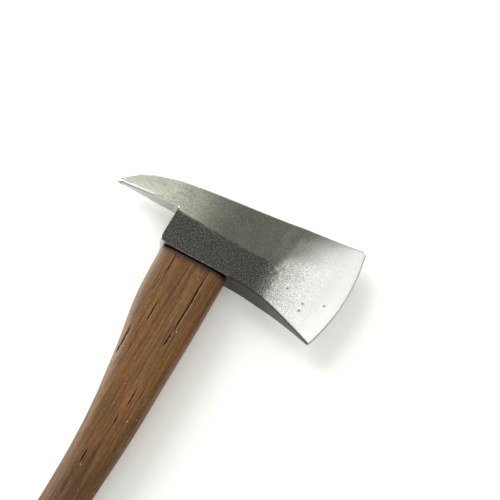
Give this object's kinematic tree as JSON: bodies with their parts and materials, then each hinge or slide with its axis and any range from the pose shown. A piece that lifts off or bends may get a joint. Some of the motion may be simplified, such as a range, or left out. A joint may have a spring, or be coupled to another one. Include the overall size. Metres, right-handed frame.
{
  "type": "miniature pick-head axe",
  "caption": "Small pick-head axe: cast head with a flared blade and a tapering pick, wedged onto a curved wooden haft with a swelled knob.",
  "frame": {"origin": "on the lower cheek, under the middle of the eye, level with the eye's open lower end", "axes": "+Y up the haft towards the head, +X from the pick towards the cutting edge, +Z through the thickness, away from the cheek it lies on"},
  "size_m": [0.0443, 0.1525, 0.0054],
  "materials": {
    "head_metal": "bare cast metal, grainy dark cheeks, blade and pick rubbed bright",
    "haft_wood": "open-pored wood stained mid brown, satin oil finish",
    "wedge_wood": "plain unstained wood, end grain darkened by handling",
    "wedge_steel": "plain steel, hammered flush"
  },
  "bodies": {
    "root": {"axe_head": "head_metal", "haft": "haft_wood", "eye_wedge": "wedge_wood", "steel_wedge_front": "wedge_steel", "steel_wedge_rear": "wedge_steel"}
  },
  "joints": []
}
